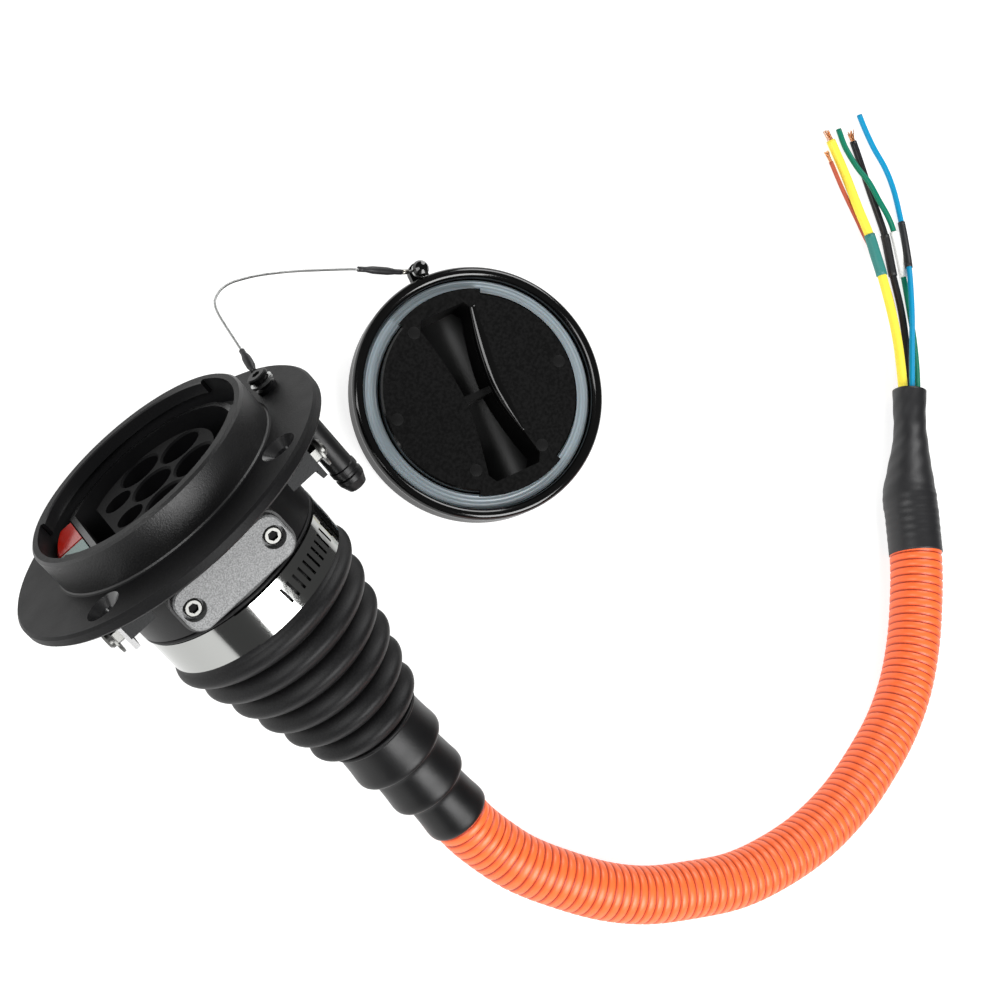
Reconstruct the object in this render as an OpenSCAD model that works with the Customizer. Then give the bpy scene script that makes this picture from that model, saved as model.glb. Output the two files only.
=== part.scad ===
// Charge port inlet of a vehicle: round flange with a bayonet collar, seven-contact socket,
// bellows boot, corrugated conduit with loose wire ends, and a tethered cap lying beside it.
// The inlet lies on its flange rim and boot, front end raised. Millimetres, +Z up.
// Origin: centre of the bolt circle on the front face of the flange.

/* [Flange] */
// Diameter of the flange plate
flange_d = 114; // [108:1:124]
// Thickness of the flange plate
flange_t = 4; // [3:0.5:6]
// Diameter of the circle through the mounting holes
bolt_pcd = 95; // [92:1:100]
// Diameter of a mounting hole
bolt_d = 6.5; // [5:0.5:7]
// Diameter of a countersink at the front face
csk_d = 11.5; // [9:0.5:12]

/* [Collar] */
// Outer diameter of the collar at its rim
collar_d = 80; // [79:0.5:82]
// Height of the collar rim above the flange
collar_h = 13; // [11:0.5:16]
// Inner diameter of the bayonet lip
lip_d = 71.6; // [71:0.2:72.6]
// Diameter of the bayonet groove below the lip
groove_d = 75; // [74:0.2:76]
// Height of the bayonet lip
lip_h = 4.2; // [3:0.2:5]
// Width of each bayonet entry
entry_angle = 56; // [40:1:60]

/* [Housing] */
// Outer diameter of the socket shell
shell_d = 66.4; // [65:0.2:67]
// Wall of the socket shell
shell_wall = 1.8; // [1.4:0.1:2.4]
// Distance from the axis to the outside of the shell's key flat
shell_flat = 25.5; // [24.5:0.1:26]
// Height of the shell rim above the flange
shell_h = 6.8; // [5:0.2:8]
// Wall of the housing body round the socket
body_wall = 1.6; // [1.2:0.1:2.4]
// Diameter of the spigot that the boot slides on
spigot_d = 59; // [56:0.5:60]

/* [Contacts] */
// Diameter of the contact insert
boss_d = 47; // [45:0.5:50]
// Distance from the axis to the key flat of the insert
boss_flat = 17.5; // [16.5:0.1:18.5]
// Height of the insert's face above the flange
boss_h = 5.3; // [4:0.1:6.5]
// Diameter of a power cavity
cavity_d = 13.8; // [12:0.2:14.2]
// Diameter of a signal cavity
small_cavity_d = 9.6; // [8:0.2:10]
// Diameter of a power pin
power_pin_d = 6; // [5:0.1:7]
// Diameter of a signal pin
signal_pin_d = 3; // [2:0.1:4]

/* [Side cover] */
// Length of the side cover
cover_len = 40; // [37:0.5:41]
// Width of the side cover
cover_w = 15.4; // [14:0.2:16]
// Thickness of the side cover
cover_t = 3.4; // [3.2:0.1:4]
// Distance from the axis to the seat of the cover
cover_seat = 31.2; // [31:0.1:32]
// Station of the cover's centre line behind the flange face
cover_s = 19.5; // [19:0.1:19.8]
// Distance between the two cover screws
cover_screw_gap = 31; // [28:0.5:32]

/* [Boot] */
// Number of convolutions of the bellows
ridge_n = 6; // [4:1:7]
// Distance between convolutions
ridge_pitch = 10.1; // [9:0.1:11]
// Radius of the first convolution
ridge_first_r = 33.8; // [33:0.1:36]
// Radius of the last convolution
ridge_last_r = 20.4; // [20:0.1:23]
// Depth of the folds between convolutions
ridge_depth = 5.2; // [4:0.1:6]
// Wall of the boot
boot_wall = 2.2; // [1.8:0.1:2.6]
// Radius of the first, second and last step
step_r = [16.4, 13.8, 11.3];
// Length of each step
step_len = 16.2; // [14:0.1:18]

/* [Clamp] */
// Width of the clamp band
band_w = 12.4; // [11:0.1:13]
// Thickness of the clamp band
band_t = 0.7; // [0.5:0.1:1]
// Distance between the band's slots
slot_pitch = 2.8; // [2.4:0.1:4]
// Diameter of the worm screw
worm_d = 6.4; // [5:0.1:7]

/* [Drain] */
// Outer diameter of the drain nozzle
nozzle_d = 8.3; // [6:0.1:9]
// Distance of the nozzle's end behind the flange face
nozzle_end_s = 36.5; // [30:0.5:45]

/* [Cap] */
// Outer diameter of the cap
cap_d = 88.6; // [84:0.2:92]
// Depth of the cap from its rim to its outer face
cap_h = 12.3; // [11:0.1:16]
// Height of the cap's grip above the outer face
grip_h = 10.5; // [8:0.1:12]
// Radius of the grip's rounded back
grip_r = 15; // [14:0.2:17]
// Width of the seal
seal_w = 5; // [4:0.2:6]
// Distance of the tether pin beyond the cap's rim
pin_out = 3.1; // [3:0.1:4]

/* [Conduit and wires] */
// Outer diameter of the conduit
conduit_d = 20; // [18:0.5:20]
// Diameter of the yellow wire
thick_d = 3.8; // [3:0.1:4]
// Diameter of the black wire
medium_d = 2.9; // [2.4:0.1:3]
// Diameter of the brown, green and blue wires
thin_d = 2.3; // [1.6:0.1:2.4]
// Diameter of the tether wire
tether_d = 0.9; // [0.6:0.1:1.2]

/* [Hidden] */
$fn = 96;
clear = 0.2;
fit = 0.05;
roll = -25;
flange_r = flange_d / 2;
collar_r = collar_d / 2;
lip_r = lip_d / 2;
groove_r = groove_d / 2;
entry_r = groove_r - 0.2;
shell_r = shell_d / 2;
body_r = shell_r - shell_wall + body_wall;
spigot_r = spigot_d / 2;
edge_r = 0.8;
collar_fillet = 0.8;
bore_r = shell_r + clear;

// Stations are distances behind the front face of the flange
shoulder_s = flange_t + 5;
shoulder_r = body_r + 2.4;
seat_r = shoulder_r + clear;
seat_depth = 0.6;
body_end_s = 28.4;
socket_floor_s = body_end_s - 2.6;
partition_s = socket_floor_s + 4;
insert_floor_s = socket_floor_s - 4;
cuff_s = body_end_s + 0.4;
cuff_r = spigot_r + fit + boot_wall;
bead_r = cuff_r + 1.2;
bead_len = 1.6;
band_s = cuff_s + bead_len + band_w / 2 + clear;
housing_end_s = band_s + band_w / 2 + 1.6;
fold_gap = 5.5;
ridge_first_s = band_s + band_w / 2 + fold_gap;
ridge_end_s = ridge_first_s + ridge_pitch * (ridge_n - 1) + ridge_pitch * 0.62;
boot_end_s = ridge_end_s + step_len * len(step_r);
boot_end_r = step_r[len(step_r) - 1];
conduit_r = conduit_d / 2;

// The inlet lies on the flange's rear edge; the conduit holds the boot's end a little off the floor
boot_lift = 3;
lie = atan((flange_r - boot_end_r - boot_lift) / (boot_end_s - flange_t));
floor_z = -flange_t * sin(lie) - flange_r * cos(lie);

line_y = 16.2;
far_at = [-13.8, 8.1];
signal_at = [11, 8];
power_at = [[0, 0], [0, line_y], [0, -line_y], far_at, [far_at[0], -far_at[1]]];
signals_at = [signal_at, [signal_at[0], -signal_at[1]]];
power_tip_s = 2;
signal_tip_s = 5;

cover_corner_r = 5;
pad_rim = 0.9;
pad_rise = 1.2;
cover_head_r = 2.8;
cover_bore_r = 3.7;
cover_bore_depth = 2.8;
cover_shank_r = 1.2;
cover_hole = 3;

// Each bracket is a lug square to X and a bar beside the mounting hole
bracket_x = [-38.6, 34.8];
lug_t = 1.7;
lug_depth = 16.4;
lug_in_y = shoulder_r - lug_depth;
lug_out_y = 29.5;
lug_end_s = 18.5;
bar_len = 9.5;
bar_t = 2.4;
bar_gap = 0.4;
bar_end_s = 11;
bar_y = bolt_pcd / 2 * sin(45) + bolt_d / 2 + bar_gap;
bracket_bolt_r = 1.5;
bracket_bolt_y = 25.6;
bracket_bolt_s = 12;
nut_r = 3.2;
nut_h = 2.2;
washer_r = 5.8;
washer_t = 0.7;

worm_r = worm_d / 2;
tail_from = 75;
tail_to = 262;
slot_from = 102;
slot_w = 0.9;
slot_len = band_w * 0.48;
band_r = cuff_r + fit;
tail_r = band_r + band_t + fit;
saddle_y = tail_r + band_t + fit;
saddle_len = 17;
saddle_h = worm_d + 2.2;

nozzle_at = [11.3 - flange_r, 8];
nozzle_r = nozzle_d / 2;
nozzle_root_r = nozzle_r + 0.9;
nozzle_seat = 1.5;
lens_h = 7.4;
lens_gap = 1.2;
lens_half = 17;
lens_in_x = shell_flat + 0.4;
lens_out_r = lip_r - 0.5;

post_r = 2.4;
post_h = 6;
post_head_r = 3.4;
post_turn = 190.46;
post_share = 0.3688;
post_from_axis = collar_r + post_share * (flange_r - collar_r);
post_at = post_from_axis * [cos(post_turn), sin(post_turn)];
loop_r = 3.4;
pin_r = 1.4;
pin_loop_r = 2.2;

// The cap rests on its grip and on one edge of its outer face
cap_r = cap_d / 2;
cap_wall = 3.6;
cap_edge_r = 3;
cap_pin_r = cap_r + pin_out;
pin_z = -5;
pin_tab_t = 3.4;
pin_tab_r = 3.2;
eye_z = pin_z + 1.7;
seal_r = cap_r - cap_wall - 2.5 * clear;
seal_in_r = seal_r - seal_w;
plug_h = 1;
plug_r = seal_in_r - 2 * clear;
lug_r = plug_r + 1.6;
seal_t = 2.4;
seal_top = -3;
grip_len = 66;
grip_end_w = 26.5;
grip_waist = 16.6;
grip_wall = 2.4;
grip_axis = cap_h + grip_h - grip_r;
cap_foot = cap_r - cap_edge_r;
cap_lean = asin(grip_r / norm([cap_foot, cap_h - grip_axis])) - atan((cap_h - grip_axis) / cap_foot);
cap_yaw = 153.4;
cap_drop = grip_r + cos(cap_lean) * grip_axis;
cap_xy = [-121.1, 66.36];

// Routes of the loose pieces, chosen points on the floor beside the inlet
conduit_route = [[0, 144, -41.2], [0, 152, -43.4], [-1, 162, -45.2], [-3, 175, -45.9],
    [-8, 190, -45.9], [-15, 206, -45.9], [-24, 220, -45.9], [-36, 233, -45.9], [-50, 246, -45.9],
    [-66, 256, -45.9], [-84, 264, -45.9], [-103, 269, -45.9], [-122, 271, -45.9], [-141, 271, -45.9],
    [-159, 268, -45.9], [-176, 262, -45.9], [-191, 254.5, -45.9], [-202, 248, -45.9],
    [-211.4, 241.2, -45.9], [-218.8, 235.4, -45.9], [-223.6, 231.6, -45.9]];
shrink_route = [[-206.2, 245.3, -45.9], [-211.4, 241.2, -45.9], [-218.8, 235.4, -45.9],
    [-224.5, 230.7, -45.9], [-229.9, 227.6, -46.1], [-236.2, 224.3, -46.5], [-242.7, 221.3, -47],
    [-250.1, 217.1, -47.5], [-257.2, 212.6, -47.7], [-262.6, 209.4, -47.7]];
yellow_route = [[-256.3, 209.1, -46.8], [-260.7, 206.3, -47], [-268.8, 200.9, -47.8],
    [-278.4, 194.3, -49.2], [-288.1, 185.8, -50.3], [-297.9, 175, -50.7], [-303, 168.4, -50.7],
    [-308.6, 161.3, -50.9], [-315.2, 151.6, -51.7], [-324.9, 139.6, -53.6], [-332.6, 126.9, -54]];
black_route = [[-260.9, 212.4, -50.4], [-265.4, 209.7, -50.6], [-276.2, 204.5, -52.6],
    [-287.4, 197.4, -53.9], [-296.5, 189.5, -54.3], [-304.7, 180.4, -54.2], [-310.8, 174.4, -54.2],
    [-317, 168.1, -54.2], [-322.8, 160.5, -54.4], [-328.6, 152.2, -54.4], [-335.9, 142.3, -54.4],
    [-341, 135.1, -54.4]];
brown_route = [[-259.3, 210.3, -51.6], [-263.8, 207.5, -51.9], [-274.2, 202, -53.6],
    [-286.5, 194.2, -54.7], [-294.7, 186.5, -54.7], [-301.3, 178.1, -54.7], [-305.8, 169.6, -54.7],
    [-309.3, 161.1, -54.7], [-312.7, 154.1, -54.7], [-318.5, 142.3, -54.7], [-324.9, 131.6, -54.7]];
green_route = [[-261.9, 214.7, -47.6], [-266.5, 212, -47.9], [-276.1, 207.6, -50],
    [-286.8, 201.6, -52.2], [-296.6, 194.8, -53.9], [-308.2, 184.7, -54.4], [-315.2, 177.6, -54.2],
    [-320.9, 170.1, -53.2], [-323.1, 164.1, -51.7], [-325.2, 156.7, -50.9], [-328.3, 149, -50.9],
    [-331, 141.6, -52.4], [-335.7, 133.6, -54.2], [-340.5, 127.2, -54.7]];
blue_route = [[-257.6, 211.3, -44.8], [-262.2, 208.7, -45], [-271.5, 204.4, -46.4],
    [-281.4, 199.9, -48], [-292.4, 194.6, -49.4], [-302.5, 188.5, -50.1], [-311.3, 183.2, -51.3],
    [-320, 177.5, -53], [-327.9, 171.2, -54.1], [-337.6, 161.6, -54.7], [-343.1, 153.1, -54.7],
    [-346.6, 144.2, -54.7], [-350.4, 136.8, -54.7], [-353.9, 131.1, -54.7]];
tether_route = [[-46.6, -0.7, 9.4], [-48.2, -1, 6.4], [-50, -2.4, 3.4], [-52.5, -5, 0.8],
    [-55.5, -9, -2], [-60.5, -16, -7], [-64.5, -21, -11], [-67.6, -23.7, -13.4], [-70.5, -24.7, -15],
    [-75, -24.9, -17], [-80, -23.8, -19], [-85, -21.6, -21], [-90.5, -18.7, -23], [-97, -14.5, -25],
    [-104.5, -9, -27], [-115.3, -0.4, -30], [-124.1, 7.1, -32], [-130.5, 13.4, -33.6],
    [-136.8, 19.6, -35.3], [-141.35, 23, -36.57]];

// Places the inlet's own axes, Z out of the socket and X towards the key flat, as it lies
module lay() {
    rotate([90 - lie, 0, 0]) rotate([0, 0, roll]) children();
}

// Places the cap's own axes, Z out of its mouth and Y towards its tether pin, as it lies
module lay_cap() {
    translate([cap_xy[0], cap_xy[1], floor_z + cap_drop])
        rotate([0, 0, cap_yaw]) rotate([0, -cap_lean, 0]) children();
}

// Circle of radius r with a key flat at x = flat
module key_disc(r, flat) {
    intersection() {
        circle(r);
        translate([-2 * r, -2 * r]) square([2 * r + flat, 4 * r]);
    }
}

// Ring sector between two radii, from z0 to z1, over an angle centred on direction at
module sector(r0, r1, z0, z1, angle, at) {
    rotate([0, 0, at - angle / 2]) rotate_extrude(angle = angle)
        translate([r0, z0]) square([r1 - r0, z1 - z0]);
}

// Sweep of a regular polygon along a route: one ring at each point
function unit(v) = v / norm(v);
function heading(p, i) = unit(p[min(i + 1, len(p) - 1)] - p[max(i - 1, 0)]);
function ring(p, i, r, n) = let (t = heading(p, i), s = unit(cross(t, [0, 0, 1])), u = cross(s, t))
    [for (k = [0:n - 1]) p[i] + r * (cos(360 * k / n) * s + sin(360 * k / n) * u)];
module sweep(p, r, from, to, n = 8) {
    m = to - from;
    points = [for (i = [from:to]) each ring(p, i, r, n)];
    walls = [for (i = [0:m - 1], k = [0:n - 1])
        let (a = i * n + k, b = i * n + (k + 1) % n) each [[a, b, b + n], [a, b + n, a + n]]];
    ends = [[for (k = [0:n - 1]) n - 1 - k], [for (k = [0:n - 1]) m * n + k]];
    polyhedron(points, concat(walls, ends), convexity = 6);
}
module cord(p, d, n = 8) {
    sweep(p, d / 2, 0, len(p) - 1, n);
}
module tube(p, radii, wall, from, n) {
    m = len(radii) - 1;
    outer = [for (i = [0:m]) each ring(p, from + i, radii[i] + wall, n)];
    inner = [for (i = [0:m]) each ring(p, from + i, radii[i], n)];
    q = len(outer);
    walls = [for (i = [0:m - 1], k = [0:n - 1]) let (a = i * n + k, b = i * n + (k + 1) % n)
        each [[a, b, b + n], [a, b + n, a + n], [q + a, q + b + n, q + b], [q + a, q + a + n, q + b + n]]];
    ends = [for (k = [0:n - 1]) let (a = k, b = (k + 1) % n, c = m * n + a, e = m * n + b)
        each [[b, a, q + a], [b, q + a, q + b], [c, e, q + e], [c, q + e, q + c]]];
    polyhedron(concat(outer, inner), concat(walls, ends), convexity = 6);
}
module sleeve(p, d, wall, from, to) {
    tube(p, [for (i = [from:to]) d / 2], wall, from, 8);
}

// Axis from point a towards point b
module along(a, b) {
    d = b - a;
    translate(a) rotate([0, acos(d[2] / norm(d)), atan2(d[1], d[0])]) children();
}

module bracket(x, side) {
    inward = -sign(x);
    mirror([0, side < 0 ? 1 : 0, 0]) {
        translate([x - lug_t / 2, lug_in_y, -lug_end_s])
            cube([lug_t, lug_out_y - lug_in_y, lug_end_s - flange_t + 1]);
        bar_x = inward > 0 ? x + lug_t / 2 : x - lug_t / 2 - bar_len;
        translate([bar_x, bar_y, -bar_end_s]) cube([bar_len, bar_t, bar_end_s - flange_t + 1]);
    }
}

module each_bracket() {
    for (x = bracket_x, side = [-1, 1]) translate([x, side * bracket_bolt_y, -bracket_bolt_s])
        rotate([0, sign(x) * 90, 0]) children();
}

module flange() {
    color("#26272a") lay() difference() {
        union() {
            rotate_extrude() polygon([[bore_r, seat_depth - flange_t], [seat_r, seat_depth - flange_t],
                [seat_r, -flange_t], [flange_r - edge_r, -flange_t],
                [flange_r, -flange_t + edge_r], [flange_r, -edge_r], [flange_r - edge_r, 0],
                [collar_r + collar_fillet, 0], [collar_r + collar_fillet * 0.4, collar_fillet * 0.4],
                [collar_r, collar_fillet], [collar_r, collar_h - edge_r], [collar_r - edge_r, collar_h],
                [lip_r + edge_r / 2, collar_h], [lip_r, collar_h - edge_r / 2],
                [lip_r, collar_h - lip_h], [groove_r, collar_h - lip_h - 0.6], [groove_r, 3],
                [lip_r, 2], [lip_r, 0], [bore_r, 0]]);
            for (x = bracket_x, side = [-1, 1]) bracket(x, side);
        }
        for (at = [0, 180])
            sector(lip_r - 1, entry_r, collar_h - lip_h - 2, collar_h + 1, entry_angle, at);
        for (a = [45:90:315]) rotate([0, 0, a]) translate([bolt_pcd / 2, 0, 0])
            rotate_extrude() polygon([[0, -flange_t - 1], [bolt_d / 2, -flange_t - 1],
                [bolt_d / 2, -(csk_d - bolt_d) / 2], [csk_d / 2 + 1, 1], [0, 1]]);
        each_bracket() cylinder(r = bracket_bolt_r + fit, h = 4 * lug_t, center = true);
        translate([nozzle_at[0], nozzle_at[1], -flange_t - 1])
            cylinder(r = nozzle_root_r + fit, h = nozzle_seat + 1);
    }
}

module pad_outline(len, w, r) {
    square([len - 2 * r, w], center = true);
    square([len, w - 2 * r], center = true);
    for (sx = [-1, 1], sy = [-1, 1]) translate([sx * (len / 2 - r), sy * (w / 2 - r)]) circle(r);
}

// Places a flat piece on the side of the housing: Z outwards, Y towards the front
module on_side(y) {
    translate([0, y, -cover_s]) rotate([-90, 0, 0]) mirror([0, 1, 0]) children();
}

module housing() {
    color("#1d1e20") lay() difference() {
        union() {
            translate([0, 0, -1]) linear_extrude(shell_h + 1) key_disc(shell_r, shell_flat);
            rotate_extrude() polygon([[0, 0], [shell_r, 0], [shell_r, seat_depth - flange_t],
                [shoulder_r, seat_depth - flange_t], [shoulder_r, -shoulder_s + 1],
                [shoulder_r - 1, -shoulder_s],
                [body_r, -shoulder_s], [body_r, -body_end_s], [spigot_r, -body_end_s],
                [spigot_r, -housing_end_s + 1], [spigot_r - 1, -housing_end_s], [0, -housing_end_s]]);
            on_side(0) linear_extrude(cover_seat + pad_rise)
                pad_outline(cover_len + 2 * pad_rim, cover_w + 2 * pad_rim, cover_corner_r + pad_rim);
        }
        translate([0, 0, -socket_floor_s]) linear_extrude(socket_floor_s + shell_h + 1)
            key_disc(shell_r - shell_wall, shell_flat - shell_wall);
        translate([0, 0, -housing_end_s - 1])
            cylinder(r = spigot_r - 2.5, h = housing_end_s - partition_s + 1);
        for (p = power_at) translate([p[0], p[1], -partition_s - 1])
            cylinder(d = power_pin_d + 2 * fit, h = partition_s - socket_floor_s + 2);
        for (p = signals_at) translate([p[0], p[1], -partition_s - 1])
            cylinder(d = signal_pin_d + 2 * fit, h = partition_s - socket_floor_s + 2);
        on_side(cover_seat) linear_extrude(cover_t)
            pad_outline(cover_len + 2 * clear, cover_w + 2 * clear, cover_corner_r + clear);
        for (sx = [-1, 1]) translate([sx * cover_screw_gap / 2, 0, 0]) on_side(cover_seat - cover_hole)
            cylinder(r = cover_shank_r + fit, h = cover_hole + cover_t / 2);
    }
}

module contact_insert() {
    chamfer = 0.6;
    color("#17181a") lay() difference() {
        translate([0, 0, -socket_floor_s]) linear_extrude(socket_floor_s + boss_h)
            key_disc(boss_d / 2, boss_flat);
        for (p = power_at) translate([p[0], p[1], 0]) {
            translate([0, 0, -insert_floor_s]) cylinder(d = cavity_d, h = insert_floor_s + boss_h + 1);
            translate([0, 0, boss_h - chamfer - 1])
                cylinder(d1 = cavity_d - 2, d2 = cavity_d + 2 * chamfer + 2, h = chamfer + 2);
            translate([0, 0, -socket_floor_s - 1]) cylinder(d = power_pin_d + 2 * fit, h = socket_floor_s);
        }
        for (p = signals_at) translate([p[0], p[1], 0]) {
            translate([0, 0, -insert_floor_s]) cylinder(d = small_cavity_d, h = insert_floor_s + boss_h + 1);
            translate([0, 0, -socket_floor_s - 1]) cylinder(d = signal_pin_d + 2 * fit, h = socket_floor_s);
        }
    }
}

// Pin with a rounded tip at station tip and a crimp barrel behind the partition
module contact(d, tip) {
    barrel = 8;
    rotate_extrude() polygon([[0, -tip], [d * 0.3, -tip], [d / 2, -tip - d * 0.25], [d / 2, -partition_s],
        [d * 0.66, -partition_s], [d * 0.66, -partition_s - barrel], [d * 0.42, -partition_s - barrel],
        [d * 0.42, -partition_s - 2], [0, -partition_s - 2]]);
}

module power_contacts() {
    color("#c9c6be") lay() for (p = power_at) translate([p[0], p[1], 0]) contact(power_pin_d, power_tip_s);
}

module signal_contacts() {
    color("#c9c6be") lay() for (p = signals_at) translate([p[0], p[1], 0])
        contact(signal_pin_d, signal_tip_s);
}

// Window between the key flat and the collar, to one side of the middle
module lens(side) {
    y0 = side > 0 ? lens_gap / 2 : -lens_half;
    intersection() {
        rotate_extrude() polygon([[0, fit], [lens_out_r, fit], [lens_out_r, lens_h - 1],
            [lens_out_r - 1, lens_h], [0, lens_h]]);
        translate([lens_in_x, y0, 0]) cube([lens_out_r, lens_half - lens_gap / 2, lens_h + 1]);
    }
}

module red_lens() {
    color("#e0341e") lay() lens(-1);
}

module green_lens() {
    color("#a8d8d0") lay() lens(1);
}

module side_cover() {
    bevel = 0.5;
    color("#3a3b3d") lay() on_side(cover_seat) difference() {
        hull() for (sx = [-1, 1], sy = [-1, 1])
            translate([sx * (cover_len / 2 - cover_corner_r), sy * (cover_w / 2 - cover_corner_r), 0]) {
                cylinder(r = cover_corner_r, h = cover_t - bevel, $fn = 32);
                cylinder(r = cover_corner_r - bevel, h = cover_t, $fn = 32);
            }
        for (sx = [-1, 1]) translate([sx * cover_screw_gap / 2, 0, 0]) {
            translate([0, 0, -1]) cylinder(r = cover_shank_r + clear, h = cover_t + 2);
            translate([0, 0, cover_t - cover_bore_depth])
                cylinder(r = cover_bore_r, h = cover_bore_depth + 1);
        }
    }
}

module side_cover_screws() {
    head_h = 1.4;
    socket_d = 3.3;
    color("#b9b9b6") lay() for (sx = [-1, 1]) translate([sx * cover_screw_gap / 2, 0, 0]) on_side(cover_seat)
        translate([0, 0, cover_t - cover_bore_depth]) difference() {
            union() {
                rotate_extrude() polygon([[0, 0], [cover_head_r, 0], [cover_head_r, head_h - 0.4],
                    [cover_head_r - 0.4, head_h], [0, head_h]]);
                translate([0, 0, -3.4]) cylinder(r = cover_shank_r, h = 3.6);
            }
            translate([0, 0, head_h - 0.9]) cylinder(d = socket_d, h = 1, $fn = 6);
        }
}

// Radius of the bellows at phase t, 0 at the first crest, in convolutions
function crest_r(t) = ridge_first_r + (ridge_last_r - ridge_first_r) * t / (ridge_n - 1);
function fold(t) = let (c = cos(360 * t)) sign(c) * pow(abs(c), 0.7);
function bellows_r(t) = crest_r(t) - ridge_depth / 2 + fold(t) * ridge_depth / 2;
bellows = [for (t = [-0.3:0.1:ridge_n - 0.45]) [bellows_r(t), ridge_first_s + ridge_pitch * t]];
steps = [for (i = [0:len(step_r) - 1]) let (s = ridge_end_s + step_len * i, r = step_r[i])
    each [[r - 0.5, s + 1], [r - 0.3, s + step_len * 0.55], [r, s + step_len * 0.72],
        [r - 0.15, s + step_len * 0.86], [r - 0.45, s + step_len * 0.97]]];
bore = [for (i = [0:len(step_r) - 2]) let (s = ridge_end_s + step_len * i, r = step_r[i] - boot_wall)
    each [[r, s + 1], [r, s + step_len * 0.8]]];

module boot() {
    conduit_stop = 10.5;
    outside = concat([[bead_r - 0.6, cuff_s], [bead_r, cuff_s + 0.7], [bead_r, cuff_s + bead_len - 0.7],
        [cuff_r, cuff_s + bead_len], [cuff_r, band_s + band_w / 2 + 0.4]], bellows, steps,
        [[boot_end_r - 0.7, boot_end_s]]);
    inside = concat([[spigot_r + fit, cuff_s], [spigot_r + fit, housing_end_s + 0.3]],
        [for (p = bellows) [p[0] - boot_wall, p[1]]], bore,
        [[conduit_r - 2, boot_end_s - step_len + 1], [conduit_r - 2, boot_end_s - conduit_stop],
        [conduit_r + clear, boot_end_s - conduit_stop], [conduit_r + clear, boot_end_s]]);
    backwards = [for (i = [len(inside) - 1:-1:0]) inside[i]];
    color("#1b1b1c") lay() rotate_extrude()
        polygon([for (p = concat(outside, backwards)) [p[0], -p[1]]]);
}

module clamp_band() {
    slots = floor((tail_to - slot_from - 10) / 360 * 2 * PI * tail_r / slot_pitch);
    slot_step = slot_pitch / (2 * PI * tail_r) * 360;
    color("#c8c8c6") lay() translate([0, 0, -band_s]) difference() {
        union() {
            rotate_extrude() translate([band_r, -band_w / 2]) square([band_t, band_w]);
            sector(band_r + band_t / 2, tail_r + band_t, -band_w / 2, band_w / 2, tail_to - tail_from,
                (tail_from + tail_to) / 2);
        }
        for (i = [0:slots - 1]) rotate([0, 0, slot_from + i * slot_step])
            translate([band_r - 1, -slot_w / 2, -slot_len / 2]) rotate([4, 0, 0])
                cube([2 * band_t + 3, slot_w, slot_len]);
    }
}

module clamp_housing() {
    width = band_w + 1.6;
    color("#b9bab8") lay() translate([0, -saddle_y, -band_s]) difference() {
        translate([-saddle_len / 2, -saddle_h, -width / 2]) cube([saddle_len, saddle_h, width]);
        translate([-saddle_len, -saddle_h / 2, 0]) rotate([0, 90, 0])
            cylinder(r = worm_r + fit, h = 2 * saddle_len);
        for (sx = [-1, 1]) translate([sx * saddle_len / 2, -saddle_h, 0]) rotate([0, 0, 45])
            cube([2.4, 2.4, 2 * width], center = true);
    }
}

module clamp_screw() {
    head_t = 4.5;
    head_d = worm_d + 1.6;
    over = 2;
    color("#a9aaa8") lay() translate([saddle_len / 2 + 0.3, -saddle_y - saddle_h / 2, -band_s])
        rotate([0, 90, 0]) difference() {
            union() {
                translate([0, 0, -saddle_len - over]) cylinder(r = worm_r, h = saddle_len + over + 0.5);
                cylinder(d = head_d, h = head_t, $fn = 6);
                cylinder(d = head_d + 1.4, h = 1);
            }
            translate([-head_d, -0.6, head_t - 1.6]) cube([2 * head_d, 1.2, 2]);
        }
}

module drain_nozzle() {
    barb_r = nozzle_r + 0.35;
    bore = nozzle_r - 1.6;
    top = nozzle_seat - flange_t;
    end = nozzle_end_s;
    color("#222326") lay() translate([nozzle_at[0], nozzle_at[1], 0]) rotate_extrude()
        polygon([[bore, top], [nozzle_root_r, top], [nozzle_root_r, -flange_t - 4],
            [nozzle_r, -flange_t - 5], [nozzle_r, -end + 8.6], [barb_r, -end + 8.2],
            [barb_r, -end + 6.4], [nozzle_r - 0.2, -end + 6], [nozzle_r - 0.2, -end + 5.2],
            [barb_r, -end + 4.8], [barb_r - 0.1, -end + 3.2], [nozzle_r - 1, -end], [bore, -end]]);
}

module bracket_washers() {
    color("#c4c4c0") lay() each_bracket() translate([0, 0, lug_t / 2 + nut_h + 2 * fit])
        difference() {
            cylinder(r = washer_r, h = washer_t);
            translate([0, 0, -1]) cylinder(r = bracket_bolt_r + fit, h = washer_t + 2);
        }
}

module bracket_bolts() {
    under_head = lug_t / 2 + nut_h + washer_t + 3 * fit;
    tail = lug_t / 2 + nut_h + 1;
    head_r = 2.9;
    head_h = 1.8;
    color("#b4b4b2") lay() each_bracket() {
        translate([0, 0, -tail]) cylinder(r = bracket_bolt_r, h = tail + under_head + head_h / 4);
        translate([0, 0, under_head]) difference() {
            rotate_extrude() polygon([[0, 0], [head_r, 0], [head_r, head_h * 0.6], [head_r - 0.7, head_h],
                [0, head_h]]);
            translate([0, 0, head_h / 2]) cylinder(r = head_r * 0.45, h = head_h, $fn = 6);
        }
    }
}

module bracket_nuts() {
    color("#9c9c9a") lay() each_bracket() for (z = [-lug_t / 2 - fit - nut_h, lug_t / 2 + fit])
        translate([0, 0, z]) difference() {
            cylinder(r = nut_r, h = nut_h, $fn = 6);
            translate([0, 0, -1]) cylinder(r = bracket_bolt_r + fit, h = nut_h + 2);
        }
}

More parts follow.
